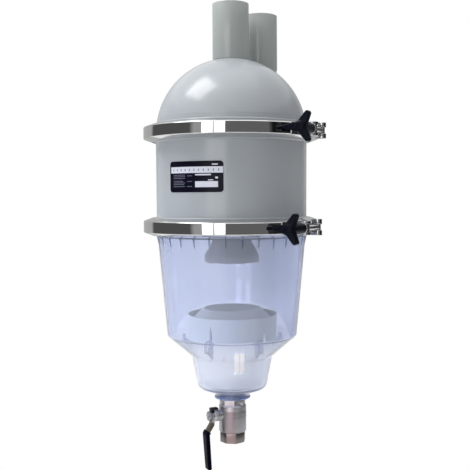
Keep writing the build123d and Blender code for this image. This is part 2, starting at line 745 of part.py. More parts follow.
def bowl_sticker():
    """Narrow strip that runs down the shoulder and over the edge of the cup."""
    slope_start, corner, foot = bowl_corners(0)
    run = slope_start[0] - corner[0]
    fall = slope_start[1] - corner[1]
    slope = math.atan2(run, fall)

    def strip_line(offset):
        top = along_line(slope_start, corner, (slope_start[0] - STICKER_TOP_R) / run)
        low = along_line(corner, foot, (corner[1] - STICKER_BOTTOM_Z) / (corner[1] - foot[1]))
        return FilletPolyline(
            (top[0] + offset * math.cos(slope), top[1] - offset * math.sin(slope)),
            (corner[0] + offset * 0.98, corner[1] - offset * 0.36),
            (low[0] + offset, low[1] - offset * 0.19),
            radius=CUP_FILLET - offset,
        )

    skin = strip_line(0)
    face = strip_line(STICKER_THICKNESS)
    section = closed_face(skin, face, Line(skin @ 0, face @ 0), Line(skin @ 1, face @ 1))
    sheet = at_bearing(revolve(section, Axis.Z, 30), 0)
    strip = Box(STICKER_WIDTH, 300, 300)
    return sheet & Pos(STICKER_LEFT + STICKER_WIDTH / 2, 0, CUP_TOP_Z) * strip


def all_pieces():
    """Every piece by the name of its node."""
    pieces = {
        "outlet_pipe": outlet_pipe(),
        "inlet_pipe": inlet_pipe(),
        "dome": dome(),
        "upper_seal": flange_seal(UPPER_JOINT_Z),
        "body_shell": body_shell(),
        "lower_seal": flange_seal(LOWER_JOINT_Z),
        "bowl": bowl(),
        "vortex_tube": vortex_tube(),
        "vortex_cone": vortex_cone(),
        "collector_cup": collector_cup(),
        "collector_cone": collector_cone(),
        "valve_body": valve_body(),
        "valve_end": valve_end(),
        "seat_upper": valve_seat(1),
        "seat_lower": valve_seat(-1),
        "packing_nut": packing_nut(),
        "valve_ball": valve_ball(),
        "valve_stem": valve_stem(),
        "lever_arm": lever_arm(),
        "lever_sleeve": lever_sleeve(),
        "lever_nut": lever_nut(),
        "rating_label": rating_label(),
        "bowl_sticker": bowl_sticker(),
    }
    clamps = {
        "upper": (UPPER_JOINT_Z, UPPER_CLAMP_BEARING),
        "lower": (LOWER_JOINT_Z, LOWER_CLAMP_BEARING),
    }
    clamp_pieces = {
        "t_loop": t_loop,
        "trunnion_loop": trunnion_loop,
        "t_bolt": t_bolt,
        "trunnion": trunnion,
        "washer": knob_washer,
        "knob": clamp_knob,
    }
    for side, (joint, bearing) in clamps.items():
        pieces[f"{side}_band"] = at_bearing(clamp_band(joint), bearing)
        for name, make in clamp_pieces.items():
            pieces[f"{side}_{name}"] = at_clamp(make(), joint, bearing)
    return pieces


os.makedirs("parts", exist_ok=True)
for node, shape in all_pieces().items():
    export_step(shape, f"parts/{node}.step")
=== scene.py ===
import json
import math

import bmesh
import bpy
from mathutils import Matrix, Vector


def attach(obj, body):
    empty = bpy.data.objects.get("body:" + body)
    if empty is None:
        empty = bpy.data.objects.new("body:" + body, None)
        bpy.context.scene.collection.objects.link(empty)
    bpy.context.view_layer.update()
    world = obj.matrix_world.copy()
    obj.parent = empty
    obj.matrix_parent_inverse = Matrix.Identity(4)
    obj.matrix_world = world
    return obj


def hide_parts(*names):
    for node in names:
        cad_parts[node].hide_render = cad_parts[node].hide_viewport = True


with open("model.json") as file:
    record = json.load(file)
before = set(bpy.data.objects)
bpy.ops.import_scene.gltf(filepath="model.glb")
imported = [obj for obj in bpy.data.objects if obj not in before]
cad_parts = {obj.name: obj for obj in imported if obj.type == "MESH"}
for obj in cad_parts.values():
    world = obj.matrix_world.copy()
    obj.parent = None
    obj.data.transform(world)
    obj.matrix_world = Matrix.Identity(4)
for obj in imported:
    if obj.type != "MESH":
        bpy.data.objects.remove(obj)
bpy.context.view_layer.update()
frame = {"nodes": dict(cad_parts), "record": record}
nodes = frame["nodes"]
scene = bpy.context.scene
scene.view_settings.view_transform = "Standard"
print("frame loaded")


# Level camera at the photograph's view, with a shade of roll
view = {"lens": 61.28, "sensor": 36.0, "place": (0.0058, -1.325, -0.3173), "roll": 0.29, "shiftY": -0.083}

cameraData = bpy.data.cameras.new("camera")
cameraData.lens = view["lens"]
cameraData.sensor_width = view["sensor"]
cameraData.shift_y = view["shiftY"]
camera = bpy.data.objects.new("camera", cameraData)
camera.location = view["place"]
camera.rotation_euler = (math.radians(90), math.radians(view["roll"]), 0)
scene.collection.objects.link(camera)
scene.camera = camera


# Helpers for the node trees

def newMaterial(name, colour, roughness, **sockets):
    material = bpy.data.materials.new(name)
    material.use_nodes = True
    tree = material.node_tree
    shader = tree.nodes["Principled BSDF"]
    shader.inputs["Base Color"].default_value = (*colour, 1)
    shader.inputs["Roughness"].default_value = roughness
    for socket, value in sockets.items():
        shader.inputs[socket.replace("_", " ")].default_value = value
    return material, tree, shader


def newGlow(name):
    material = bpy.data.materials.new(name)
    material.use_nodes = True
    tree = material.node_tree
    tree.nodes.remove(tree.nodes["Principled BSDF"])
    glow = tree.nodes.new("ShaderNodeEmission")
    tree.links.new(glow.outputs[0], tree.nodes["Material Output"].inputs["Surface"])
    return material, tree, glow


def objectPlace(tree, scale=(1, 1, 1)):
    coordinates = tree.nodes.new("ShaderNodeTexCoord")
    mapping = tree.nodes.new("ShaderNodeMapping")
    mapping.inputs["Scale"].default_value = scale
    tree.links.new(coordinates.outputs["Object"], mapping.inputs["Vector"])
    return mapping.outputs["Vector"]


def axes(tree, place):
    split = tree.nodes.new("ShaderNodeSeparateXYZ")
    tree.links.new(place, split.inputs[0])
    return split.outputs


def noise(tree, place, scale, detail=3.0, rough=0.5):
    node = tree.nodes.new("ShaderNodeTexNoise")
    node.inputs["Scale"].default_value = scale
    node.inputs["Detail"].default_value = detail
    node.inputs["Roughness"].default_value = rough
    tree.links.new(place, node.inputs["Vector"])
    return node.outputs["Fac"]


def ranged(tree, value, low, high, toLow, toHigh):
    node = tree.nodes.new("ShaderNodeMapRange")
    node.inputs["From Min"].default_value = low
    node.inputs["From Max"].default_value = high
    node.inputs["To Min"].default_value = toLow
    node.inputs["To Max"].default_value = toHigh
    tree.links.new(value, node.inputs["Value"])
    return node.outputs["Result"]


def maths(tree, operation, first, second=0.0):
    node = tree.nodes.new("ShaderNodeMath")
    node.operation = operation
    for socket, value in zip(node.inputs, (first, second)):
        if isinstance(value, (int, float)):
            socket.default_value = value
        else:
            tree.links.new(value, socket)
    return node.outputs["Value"]


def mixed(tree, share, first, second):
    node = tree.nodes.new("ShaderNodeMix")
    node.data_type = "RGBA"
    tree.links.new(share, node.inputs[0])
    for socket, colour in ((node.inputs[6], first), (node.inputs[7], second)):
        if isinstance(colour, tuple):
            socket.default_value = (*colour, 1)
        else:
            tree.links.new(colour, socket)
    return node.outputs[2]


def bump(tree, shader, height, distance):
    node = tree.nodes.new("ShaderNodeBump")
    node.inputs["Distance"].default_value = distance
    node.inputs["Strength"].default_value = 1.0
    tree.links.new(height, node.inputs["Height"])
    tree.links.new(node.outputs["Normal"], shader.inputs["Normal"])


def seenRays(tree):
    # rays of the camera, and of what mirrors or glass show it
    rays = tree.nodes.new("ShaderNodeLightPath").outputs
    indirect = maths(tree, "MAXIMUM", rays["Is Glossy Ray"], rays["Is Transmission Ray"])
    return maths(tree, "MAXIMUM", rays["Is Camera Ray"], indirect)


def blendSurfaces(tree, share, first, second):
    blend = tree.nodes.new("ShaderNodeMixShader")
    for socket, source in zip(blend.inputs, (share, first, second)):
        tree.links.new(source, socket)
    tree.links.new(blend.outputs[0], tree.nodes["Material Output"].inputs["Surface"])


# Helpers for meshes; bearings are in degrees from the front, rising towards +X

def atBearing(radius, bearing, z):
    turn = math.radians(bearing)
    return (radius * math.sin(turn), -radius * math.cos(turn), z)


def bearingOf(point):
    return math.degrees(math.atan2(point.x, -point.y))


def vertsOf(items):
    return [item for item in items if isinstance(item, bmesh.types.BMVert)]


def spun(bm, geometry, angle, steps, merge=False):
    bmesh.ops.spin(bm, geom=geometry, cent=(0, 0, 0), axis=(0, 0, 1), angle=angle, steps=steps,
                   dvec=(0, 0, 0), use_merge=merge)


def addObject(name, bm, materials):
    mesh = bpy.data.meshes.new(name)
    bm.to_mesh(mesh)
    bm.free()
    for material in materials:
        mesh.materials.append(material)
    added = bpy.data.objects.new(name, mesh)
    scene.collection.objects.link(added)
    return added


# Studio: floor well below the hanging unit, white behind it, a surround that only reflections show
studio = {
    "floorY": -0.28,
    "floorZ": -1.115,
    "floorSize": 2.3,
    "floorColour": (0.80, 0.80, 0.80),
    "floorFade": (0.45, 1.05),
    "skySpan": (-0.6, 0.9),
    "skyLevels": (0.36, 0.95),
    "radius": 3.4,
    "heights": (-1.6, 1.5),
    "steps": 360,
    "soften": 3.0,
    "panels": [
        # plain grey walls: bearings from, to, then how light each is
        (-180, -120, 0.5),
        (-120, -50, 0.1),
        (-50, -10, 0.4),
        (-10, 50, 0.15),
        (50, 100, 0.01),
        (100, 140, 0.1),
        (140, 180, 0.5),
    ],
}
# Grey card behind the unit, which only the clear bowl shows; its glow darkens to the right, and up and down, and
# paints the shade seen through the bowl
card = {
    "depth": 0.95,
    "size": (1.5, 1.3),
    "middleZ": -0.62,
    "tint": (1.0, 1.0, 0.99),
    "across": (-0.04, 0.10),
    "upwards": (-0.66, -0.44),
    "downwards": (-0.66, -0.74),
    "side": 0.15,
    "top": 0.60,
    "foot": 0.18,
}
# Glowing window panes, which only the clear bowl shows too: they paint window highlights in its back wall
panes = {
    "radius": 2.65,
    "heights": (-0.22, 0.35),
    "bearings": [(-17.5, -6.2), (-35.5, -27.5)],
    "colour": (0.96, 0.97, 1.0),
    "level": 6.5,
    "steps": 6,
}
lamps = {
    # bearing, elevation, distance, width, height, level, then the point aimed at where it isn't the body
    "keyBox": (-77, 58, 1.7, 0.85, 0.75, 8.0),
    "windowLeft": (-29.4, 5.5, 2.6, 0.63, 1.66, 2.2),
    "windowRight": (-14.0, 5.5, 2.6, 0.60, 1.66, 2.2),
    "leftWall": (-105, 10, 2.4, 1.2, 2.2, 0.9),
    "rightWall": (118, 5, 2.4, 1.2, 2.2, 0.55),
    "topBox": (20, 82, 1.8, 1.6, 1.2, 0.8),
    "bowlLamp": (-66, -14, 1.5, 0.45, 0.45, 0.46, (0, 0, -0.57)),
}
# Narrow cool beam of the lamp that lights the bowl and what stands in it
bowlBeam = {"spread": 24, "colour": (0.80, 0.86, 1.0)}


def studioFloor():
    bm = bmesh.new()
    bmesh.ops.create_grid(bm, x_segments=8, y_segments=8, size=studio["floorSize"] / 2)
    bmesh.ops.translate(bm, vec=(0, studio["floorY"], studio["floorZ"]), verts=bm.verts)
    material, tree, shader = newMaterial("floorPaint", studio["floorColour"], 0.7)
    # towards its rim the floor fades into the white behind it
    place = axes(tree, objectPlace(tree))
    depth = maths(tree, "SUBTRACT", place["Y"], studio["floorY"])
    squares = maths(tree, "ADD", maths(tree, "MULTIPLY", place["X"], place["X"]),
                    maths(tree, "MULTIPLY", depth, depth))
    fade = ranged(tree, maths(tree, "SQRT", squares), *studio["floorFade"], 0.0, 1.0)
    glow = tree.nodes.new("ShaderNodeEmission")
    glow.inputs["Color"].default_value = (1, 1, 1, 1)
    blendSurfaces(tree, maths(tree, "MULTIPLY", fade, seenRays(tree)), shader.outputs[0], glow.outputs[0])
    addObject("floor", bm, [material])


def greyAt(bearing):
    # neighbouring panels run into each other over a few degrees
    stops = []
    for first, last, grey in studio["panels"]:
        ease = min(studio["soften"], (last - first) / 2)
        stops += [(first + ease, grey), (last - ease, grey)]
    for (start, before), (stop, after) in zip(stops, stops[1:]):
        if start <= bearing <= stop:
            return before + (after - before) * (bearing - start) / max(stop - start, 1e-6)
    return stops[0][1] if bearing < stops[0][0] else stops[-1][1]


def studioSurround():
    bm = bmesh.new()
    ends = [bm.verts.new((0, studio["radius"], z)) for z in studio["heights"]]
    edge = bm.edges.new(ends)
    spun(bm, [*ends, edge], math.tau, studio["steps"], merge=True)
    tone = bm.verts.layers.float_color.new("tone")
    for vert in bm.verts:
        grey = greyAt(bearingOf(vert.co))
        vert[tone] = (grey, grey, grey, 1)
    material, tree, glow = newGlow("surround")
    painted = tree.nodes.new("ShaderNodeAttribute")
    painted.attribute_name = "tone"
    tree.links.new(painted.outputs["Color"], glow.inputs["Color"])
    surround = addObject("surround", bm, [material])
    surround.visible_camera = False
    surround.visible_diffuse = False
    surround.visible_transmission = False
    surround.visible_volume_scatter = False
    surround.visible_shadow = False


def studioWorld():
    world = bpy.data.worlds.new("studio")
    scene.world = world
    world.use_nodes = True
    tree = world.node_tree
    sky = tree.nodes["Background"]
    seen = seenRays(tree)
    # diffuse light comes mostly from the white wall behind the unit
    heading = axes(tree, tree.nodes.new("ShaderNodeTexCoord").outputs["Generated"])
    diffuse = ranged(tree, heading["Y"], *studio["skySpan"], *studio["skyLevels"])
    tree.links.new(maths(tree, "MAXIMUM", seen, diffuse), sky.inputs["Strength"])
    sky.inputs["Color"].default_value = (1, 1, 1, 1)


def onlyThroughGlass(stageObject):
    stageObject.visible_camera = False
    stageObject.visible_diffuse = False
    stageObject.visible_glossy = False
    stageObject.visible_volume_scatter = False
    stageObject.visible_shadow = False


def studioCard():
    bm = bmesh.new()
    bmesh.ops.create_grid(bm, x_segments=6, y_segments=6, size=0.5)
    width, height = card["size"]
    bmesh.ops.scale(bm, vec=(width, height, 1), verts=bm.verts)
    upright = Matrix.Rotation(math.radians(90), 3, "X")
    bmesh.ops.rotate(bm, cent=(0, 0, 0), matrix=upright, verts=bm.verts)
    bmesh.ops.translate(bm, vec=(0, card["depth"], card["middleZ"]), verts=bm.verts)
    material, tree, glow = newGlow("card")
    place = axes(tree, objectPlace(tree))
    across = ranged(tree, place["X"], *card["across"], 0.0, 1.0)
    upwards = ranged(tree, place["Z"], *card["upwards"], 0.0, card["top"])
    downwards = ranged(tree, place["Z"], *card["downwards"], card["side"], card["side"] + card["foot"])
    shade = maths(tree, "MULTIPLY", across, maths(tree, "ADD", upwards, downwards))
    glow.inputs["Color"].default_value = (*card["tint"], 1)
    tree.links.new(maths(tree, "SUBTRACT", 1.0, shade), glow.inputs["Strength"])
    onlyThroughGlass(addObject("card", bm, [material]))


def studioPanes():
    bm = bmesh.new()
    for first, last in panes["bearings"]:
        ends = [bm.verts.new(atBearing(panes["radius"], first, z)) for z in panes["heights"]]
        edge = bm.edges.new(ends)
        spun(bm, [*ends, edge], math.radians(last - first), panes["steps"])
    material, tree, glow = newGlow("panes")
    glow.inputs["Color"].default_value = (*panes["colour"], 1)
    glow.inputs["Strength"].default_value = panes["level"]
    onlyThroughGlass(addObject("panes", bm, [material]))


def softBox(name, bearing, elevation, distance, width, height, level, aim=(0, 0, -0.35)):
    lamp = bpy.data.lights.new(name, "AREA")
    lamp.shape = "RECTANGLE"
    lamp.size = width
    lamp.size_y = height
    lamp.energy = level * math.pi * width * height
    turn, rise = math.radians(bearing), math.radians(elevation)
    heading = Vector((math.sin(turn) * math.cos(rise), -math.cos(turn) * math.cos(rise), math.sin(rise)))
    box = bpy.data.objects.new(name, lamp)
    box.location = Vector(aim) + heading * distance
    box.rotation_euler = heading.to_track_quat("Z", "Y").to_euler()
    scene.collection.objects.link(box)
    return box


studioFloor()
studioSurround()
studioCard()
studioPanes()
studioWorld()
boxes = {name: softBox(name, *row) for name, row in lamps.items()}
for name in ("leftWall", "rightWall", "bowlLamp"):
    boxes[name].visible_glossy = False
boxes["bowlLamp"].visible_transmission = False
boxes["bowlLamp"].data.spread = math.radians(bowlBeam["spread"])
boxes["bowlLamp"].data.color = bowlBeam["colour"]
print("studio set")


# Finishes

def mouldedPlastic(name, colour, shade, roughness, grain=0.00002, specular=0.5):
    material, tree, shader = newMaterial(name, colour, roughness, IOR=1.5, Specular_IOR_Level=specular)
    place = objectPlace(tree)
    patches = ranged(tree, noise(tree, place, scale=14, detail=4), 0.35, 0.65, 0, 1)
    tree.links.new(mixed(tree, patches, colour, shade), shader.inputs["Base Color"])
    fine = noise(tree, place, scale=650, detail=2)
    coarse = noise(tree, place, scale=60, detail=5)
    dull = ranged(tree, coarse, 0.3, 0.7, roughness - 0.04, roughness + 0.05)
    tree.links.new(dull, shader.inputs["Roughness"])
    bump(tree, shader, fine, grain)
    return material


def metal(name, colour, roughness, grainScale=(1, 1, 1), grain=0.00001, spread=0.35):
    material, tree, shader = newMaterial(name, colour, roughness, Metallic=1.0)
    place = objectPlace(tree, grainScale)
    scratch = noise(tree, place, scale=400, detail=5, rough=0.6)
    low, high = roughness * (1 - spread), roughness * (1 + spread)
    tree.links.new(ranged(tree, scratch, 0.3, 0.7, low, high), shader.inputs["Roughness"])
    bump(tree, shader, scratch, grain)
    return material


def shadedTowardsSide(material, shadeColour, start, end, share):
    # painted shade: the colour darkens towards one side, where the piece lies in shade
    tree = material.node_tree
    shader = tree.nodes["Principled BSDF"]
    unshaded = shader.inputs["Base Color"].links[0].from_socket
    amount = ranged(tree, axes(tree, objectPlace(tree))["X"], start, end, 0.0, share)
    tree.links.new(mixed(tree, amount, unshaded, shadeColour), shader.inputs["Base Color"])


clear = {
    "tint": (0.875, 0.91, 0.99),
    "shade": (0.86, 0.885, 0.985),
    "cup": (0.985, 0.99, 1.0),
    "cupTop": (-0.545, -0.565),
    "cupFoot": (-0.645, -0.635),
    "rib": (0.24, 0.31, 0.40),
    "depth": (0.0, 0.20, 0.74),
    "density": 27,
    "lit": (0.95, 0.96, 0.99),
}


def clearPlastic():
    material, tree, shader = newMaterial("clearPlastic", clear["tint"], 0.02, IOR=1.52, Transmission_Weight=0.87)
    place = objectPlace(tree)
    patches = ranged(tree, noise(tree, place, scale=9, detail=3), 0.35, 0.65, 0, 1)
    upper = mixed(tree, patches, clear["tint"], clear["shade"])
    # the cup was drawn thinner and shows less of the tint
    height = axes(tree, place)["Z"]
    drawn = maths(tree, "MULTIPLY", ranged(tree, height, *clear["cupTop"], 0.0, 1.0),
                  ranged(tree, height, *clear["cupFoot"], 0.0, 1.0))
    plain = mixed(tree, drawn, upper, clear["cup"])
    # ribs, lugs and the thick neck look darker than the wall
    rib = tree.nodes.new("ShaderNodeAttribute")
    rib.attribute_name = "rib"
    tree.links.new(mixed(tree, rib.outputs["Fac"], plain, clear["rib"]), shader.inputs["Base Color"])
    # the long way through the wall at its edges turns it blue
    depth = tree.nodes.new("ShaderNodeVolumeAbsorption")
    depth.inputs["Color"].default_value = (*clear["depth"], 1)
    depth.inputs["Density"].default_value = clear["density"]
    tree.links.new(depth.outputs[0], tree.nodes["Material Output"].inputs["Volume"])
    # lamps light what stands inside the bowl
    rays = tree.nodes.new("ShaderNodeLightPath").outputs
    through = tree.nodes.new("ShaderNodeBsdfTransparent")
    through.inputs["Color"].default_value = (*clear["lit"], 1)
    unseen = maths(tree, "MAXIMUM", rays["Is Shadow Ray"], rays["Is Diffuse Ray"])
    blendSurfaces(tree, unseen, shader.outputs[0], through.outputs[0])
    return material


sticker = {
    "white": (0.96, 0.95, 1.0),
    "grey": (0.62, 0.63, 0.72),
    "lineX": 0.01165,
    "lineEdge": (0.0006, 0.0011),
    "dashes": 260,
    "dashEnd": (0.45, 0.6),
}


def printedPaper():
    # white strip with a broken grey line down its middle
    material, tree, shader = newMaterial("stickerPaper", sticker["white"], 0.45)
    place = objectPlace(tree)
    point = axes(tree, place)
    across = maths(tree, "ABSOLUTE", maths(tree, "SUBTRACT", point["X"], sticker["lineX"]))
    line = ranged(tree, across, *sticker["lineEdge"], 1.0, 0.0)
    dash = maths(tree, "FRACT", maths(tree, "MULTIPLY", point["Z"], sticker["dashes"]))
    broken = ranged(tree, dash, *sticker["dashEnd"], 1.0, 0.0)
    printed = mixed(tree, maths(tree, "MULTIPLY", line, broken), sticker["white"], sticker["grey"])
    tree.links.new(printed, shader.inputs["Base Color"])
    bump(tree, shader, noise(tree, place, scale=700, detail=2), 0.000008)
    return material


plating = {
    "highlightX": -0.0035,
    "highlightEdge": (0.005, 0.0105),
    "highlightDepth": (0.0, -0.012),
    "flats": (0.88, 0.85, 0.89),
    "flatsFoot": (-0.6700, -0.6685),
    "flatsShare": 0.5,
}


def valvePlating(name, nickel, frontHighlight, roughness):
    # nickel tone with a painted highlight: a warmer tone down the front, broken up in patches
    material, tree, shader = newMaterial(name, nickel, roughness, Metallic=1.0)
    place = objectPlace(tree)
    point = axes(tree, place)
    # painted highlight: a stripe down the front, near the middle
    across = maths(tree, "ABSOLUTE", maths(tree, "SUBTRACT", point["X"], plating["highlightX"]))
    front = maths(tree, "MULTIPLY", ranged(tree, across, *plating["highlightEdge"], 1.0, 0.0),
                  ranged(tree, point["Y"], *plating["highlightDepth"], 0.0, 1.0))
    patchy = ranged(tree, noise(tree, place, scale=90, detail=4), 0.3, 0.62, 0.55, 1.0)
    plated = mixed(tree, maths(tree, "MULTIPLY", front, patchy), nickel, frontHighlight)
    # brighter on the flats of the upper joint
    flats = ranged(tree, point["Z"], *plating["flatsFoot"], 0.0, plating["flatsShare"])
    tree.links.new(mixed(tree, flats, plated, plating["flats"]), shader.inputs["Base Color"])
    fine = noise(tree, place, scale=500, detail=4)
    dull = ranged(tree, fine, 0.3, 0.7, roughness - 0.04, roughness + 0.05)
    tree.links.new(dull, shader.inputs["Roughness"])
    bump(tree, shader, fine, 0.000002)
    return material


lever = {
    "stop": (0.012, 0.012, 0.014),
    "stopFoot": (-0.6715, -0.6700),
    "head": (0.46, 0.46, 0.47),
    "headFoot": (-0.6870, -0.6840),
    "shank": (0.21, 0.185, 0.145),
}


def leverFinish():
    # painted shade: the stop is coloured near black where it lies in shade; a bright head, and a dull shank below
    # it
    material, tree, shader = newMaterial("leverSteel", lever["shank"], 0.36, Metallic=1.0)
    place = objectPlace(tree)
    height = axes(tree, place)["Z"]
    head = ranged(tree, height, *lever["headFoot"], 0.0, 1.0)
    # painted shade: near black above the stop's foot
    stop = ranged(tree, height, *lever["stopFoot"], 0.0, 1.0)
    bare = mixed(tree, head, lever["shank"], lever["head"])
    tree.links.new(mixed(tree, stop, bare, lever["stop"]), shader.inputs["Base Color"])
    bump(tree, shader, noise(tree, place, scale=400, detail=4), 0.000004)
    return material


bodyPlastic = mouldedPlastic("bodyPlastic", (0.42, 0.45, 0.48), (0.405, 0.435, 0.465), 0.22)
pipePlastic = mouldedPlastic("pipePlastic", (0.40, 0.43, 0.42), (0.385, 0.415, 0.405), 0.20)
conePlastic = mouldedPlastic("conePlastic", (0.25, 0.245, 0.25), (0.235, 0.23, 0.235), 0.35)
collectorPlastic = mouldedPlastic("collectorPlastic", (0.66, 0.69, 0.69), (0.63, 0.665, 0.665), 0.35)
# painted shade on the collector's skirt towards +X, the side that lies in shade
shadedTowardsSide(collectorPlastic, shadeColour=(0.36, 0.42, 0.41), start=0.034, end=0.046, share=0.5)
# darker material that paints the shade on the collector's inside faces and trough floor
collectorShade = mouldedPlastic("collectorShade", (0.22, 0.28, 0.275), (0.29, 0.35, 0.34), 0.5)
seatPlastic = mouldedPlastic("seatPlastic", (0.80, 0.79, 0.75), (0.76, 0.75, 0.71), 0.4)
sealRubber = mouldedPlastic("sealRubber", (0.018, 0.018, 0.020), (0.012, 0.012, 0.014), 0.6)
knobPlastic = mouldedPlastic("knobPlastic", (0.003, 0.0045, 0.011), (0.0022, 0.0035, 0.009), 0.40,
                             specular=0.09)
gripVinyl = mouldedPlastic("gripVinyl", (0.0010, 0.0012, 0.009), (0.0008, 0.0010, 0.006), 0.33,
                           specular=0.03)
bowlPlastic = clearPlastic()
bandSteel = metal("bandSteel", (0.68, 0.68, 0.68), 0.05, grainScale=(1, 1, 0.05), grain=0.000002)
lugSteel = metal("lugSteel", (0.58, 0.58, 0.60), 0.18)
boltSteel = metal("boltSteel", (0.52, 0.52, 0.54), 0.25)
# the second colour of each plating is a painted highlight down the front
platedBrass = valvePlating("platedBrass", (0.44, 0.43, 0.45), (0.44, 0.34, 0.365), 0.40)
endBrass = valvePlating("endBrass", (0.27, 0.25, 0.24), (0.42, 0.30, 0.305), 0.38)
glandBrass = metal("glandBrass", (0.72, 0.72, 0.74), 0.42, grain=0.000002)
nutSteel = metal("nutSteel", (0.42, 0.43, 0.46), 0.32, grain=0.000002)
leverSteel = leverFinish()
labelFilm = mouldedPlastic("labelFilm", (0.003, 0.003, 0.012), (0.0025, 0.0025, 0.010), 0.35,
                           grain=0.000004, specular=0.12)
printWhite = mouldedPlastic("printWhite", (0.70, 0.72, 0.82), (0.68, 0.70, 0.80), 0.40, grain=0.000004)
printGrey = mouldedPlastic("printGrey", (0.14, 0.15, 0.22), (0.13, 0.14, 0.20), 0.40, grain=0.000004)
stickerPaper = printedPaper()

finishes = {
    "outlet_pipe": pipePlastic,
    "inlet_pipe": pipePlastic,
    "dome": bodyPlastic,
    "body_shell": bodyPlastic,
    "upper_seal": sealRubber,
    "lower_seal": sealRubber,
    "bowl": bowlPlastic,
    "vortex_tube": conePlastic,
    "vortex_cone": conePlastic,
    "collector_cup": collectorPlastic,
    "collector_cone": collectorPlastic,
    "valve_body": platedBrass,
    "valve_end": endBrass,
    "seat_upper": seatPlastic,
    "seat_lower": seatPlastic,
    "packing_nut": glandBrass,
    "valve_ball": lugSteel,
    "valve_stem": boltSteel,
    "lever_arm": leverSteel,
    "lever_sleeve": gripVinyl,
    "lever_nut": nutSteel,
    "rating_label": labelFilm,
    "bowl_sticker": stickerPaper,
}
for side in ("upper", "lower"):
    finishes[side + "_band"] = bandSteel
    finishes[side + "_t_loop"] = lugSteel
    finishes[side + "_trunnion_loop"] = lugSteel
    finishes[side + "_t_bolt"] = boltSteel
    finishes[side + "_trunnion"] = boltSteel
    finishes[side + "_washer"] = boltSteel
    finishes[side + "_knob"] = knobPlastic
for name, material in finishes.items():
    for slot in nodes[name].material_slots:
        slot.material = material
print("frame pieces finished")


# Helpers for new pieces

def addPiece(name, bm, materials, body, replaced=(), sharp=35):
    bmesh.ops.recalc_face_normals(bm, faces=bm.faces)
    piece = addObject(name, bm, materials)
    for polygon in piece.data.polygons:
        polygon.use_smooth = True
    piece.data.set_sharp_from_angle(angle=math.radians(sharp))
    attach(piece, body)
    if replaced:
        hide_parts(*replaced)
    return piece


def section(bm, points, bearing, rounds):
    # closed outline of (radius, z) points at a bearing, its corners rounded
    verts = [bm.verts.new(atBearing(radius, bearing, z)) for radius, z in points]
    bm.faces.new(verts)
    for offset in sorted(set(rounds)):
        corners = [vert for vert, size in zip(verts, rounds) if size == offset]
        if offset:
            bmesh.ops.bevel(bm, geom=corners, offset=offset, offset_type="OFFSET", segments=4, profile=0.5,
                            affect="VERTICES", material=-1)
    return bm.faces[:]


def turnedWall(bm, points, bearing, rounds, steps):
    # outline turned all the way round
    faces = section(bm, points, bearing, rounds)
    bmesh.ops.delete(bm, geom=faces, context="FACES_ONLY")
    spun(bm, [*bm.verts, *bm.edges], math.tau, steps, merge=True)


# Mirror bands: rolled sheet with rounded bends, open at the closure
bands = {
    "outerR": 0.1445,
    "innerR": 0.1429,
    "lipR": 0.1300,
    "bendOuter": 0.00921,
    "bendInner": 0.00809,
    "lipOuter": 0.01449,
    "lipInner": 0.01279,
    "rounds": [0.0004, 0.0006, 0.0006, 0.0013],
    "gap": 7.0,
    "gapMiddle": -3.57,
    "steps": 240,
    "places": {"upper": (-0.2145, 63.6), "lower": (-0.3664, 56.0)},
}


def band(side, joint, bearing):
    bm = bmesh.new()
    upper = [
        (bands["innerR"], bands["bendInner"]),
        (bands["lipR"], bands["lipInner"]),
        (bands["lipR"], bands["lipOuter"]),
        (bands["outerR"], bands["bendOuter"]),
    ]
    outline = [(radius, joint + z) for radius, z in upper] + [(radius, joint - z) for radius, z in reversed(upper)]
    start = bearing + bands["gapMiddle"] + bands["gap"] / 2
    faces = section(bm, outline, start, bands["rounds"] + bands["rounds"][::-1])
    geometry = faces + [edge for face in faces for edge in face.edges]
    geometry += [vert for face in faces for vert in face.verts]
    spun(bm, list(dict.fromkeys(geometry)), math.radians(360 - bands["gap"]), bands["steps"])
    bmesh.ops.remove_doubles(bm, verts=bm.verts, dist=1e-6)
    piece = addPiece(side + "_band_sheet", bm, [bandSteel], "separator", [side + "_band"], 30)


for side, (joint, bearing) in bands["places"].items():
    band(side, joint, bearing)
print("bands made")


